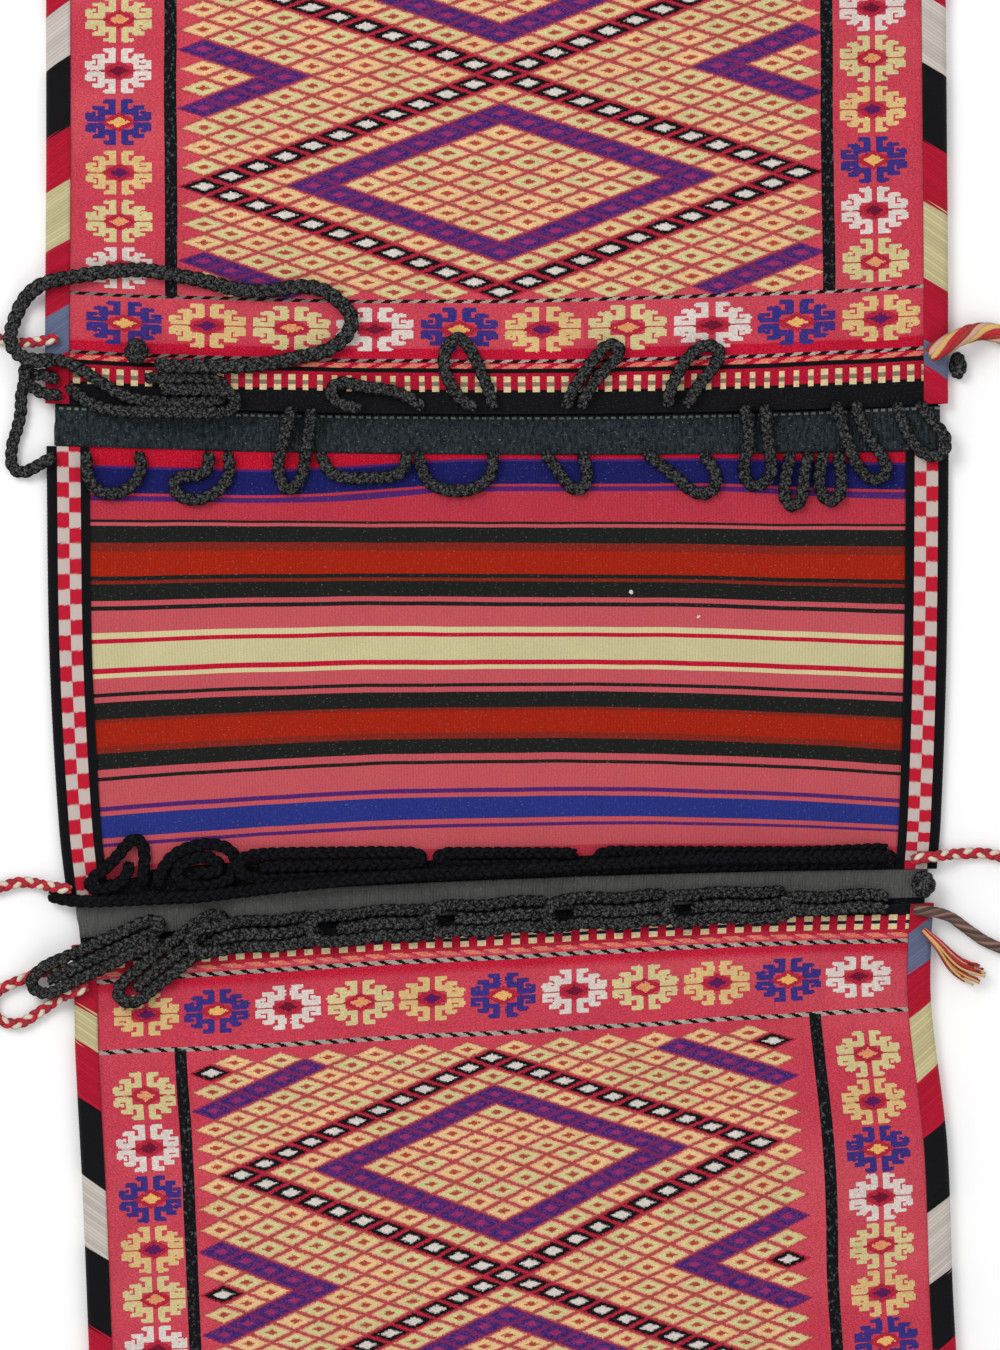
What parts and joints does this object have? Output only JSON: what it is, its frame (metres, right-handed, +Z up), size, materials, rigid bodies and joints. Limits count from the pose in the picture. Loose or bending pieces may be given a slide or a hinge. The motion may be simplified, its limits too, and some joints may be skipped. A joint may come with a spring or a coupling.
{
  "type": "kilim saddle bag",
  "caption": "Hand-woven double saddle bag laid flat: patterned pouches joined by a striped bridge, overcast side bindings and black braided closure loops.",
  "frame": {"origin": "on the surface the bag lies on, under the middle of the woven pieces' box", "axes": "+Y along the bag towards the upper pouch, +X to the right seen from above, +Z up"},
  "size_m": [0.6823, 1.3659, 0.0282],
  "materials": {
    "sumac_weave": "matte wool, weft-wrapped diamonds and rosettes on red",
    "striped_weave": "matte wool, flat weave with cross stripes",
    "charcoal_band": "matte dark goat hair, plain weave",
    "overcast_binding": "matte wool overcasting in slanting blocks of red, black, white and cream",
    "checked_edging": "matte wool, red and white checks between black ribs",
    "black_braid": "matte braided goat hair with grey flecks",
    "red_white_plait": "matte plaited wool, red, white and black",
    "straw_cord": "matte twisted wool, red, straw and cream",
    "brown_cord": "matte twisted dark brown wool"
  },
  "bodies": {
    "root": {"front_panel_upper": "sumac_weave", "front_panel_lower": "sumac_weave", "backs_and_bridge": "striped_weave", "slit_band_upper": "charcoal_band", "slit_band_lower": "charcoal_band", "wrap_upper_left": "overcast_binding", "wrap_upper_right": "overcast_binding", "wrap_lower_left": "overcast_binding", "wrap_lower_right": "overcast_binding", "edging_left": "checked_edging", "edging_right": "checked_edging", "pile_run": "black_braid", "pile_loop": "black_braid", "front_loop_1": "black_braid", "front_loop_2": "black_braid", "front_loop_3": "black_braid", "front_loop_4": "black_braid", "bridge_loop_01": "black_braid", "bridge_loop_02": "black_braid", "bridge_loop_03": "black_braid", "bridge_loop_04": "black_braid", "bridge_loop_05": "black_braid", "bridge_loop_06": "black_braid", "bridge_loop_07": "black_braid", "bridge_loop_08": "black_braid", "bridge_loop_09": "black_braid", "bridge_loop_10": "black_braid", "bridge_loop_11": "black_braid", "bridge_loop_12": "black_braid", "hump_loop_1": "black_braid", "hump_loop_2": "black_braid", "roll_loop_1": "black_braid", "roll_loop_2": "black_braid", "roll_loop_3": "black_braid", "roll_run": "black_braid", "big_loop_1": "black_braid", "big_loop_2": "black_braid", "chain_loop_1": "black_braid", "chain_loop_2": "black_braid", "chain_loop_3": "black_braid", "chain_loop_4": "black_braid", "chain_loop_5": "black_braid", "chain_loop_6": "black_braid", "long_cord": "black_braid", "side_loop": "black_braid", "knot_upper_left": "black_braid", "tuft_upper_right": "black_braid", "knot_lower_right": "black_braid", "plait_upper_left": "red_white_plait", "cord_lower_left": "red_white_plait", "plait_lower_left": "red_white_plait", "plait_lower_right": "red_white_plait", "cord_upper_right": "straw_cord", "tassel_lower_right": "straw_cord", "cord_lower_right": "brown_cord"}
  },
  "joints": []
}
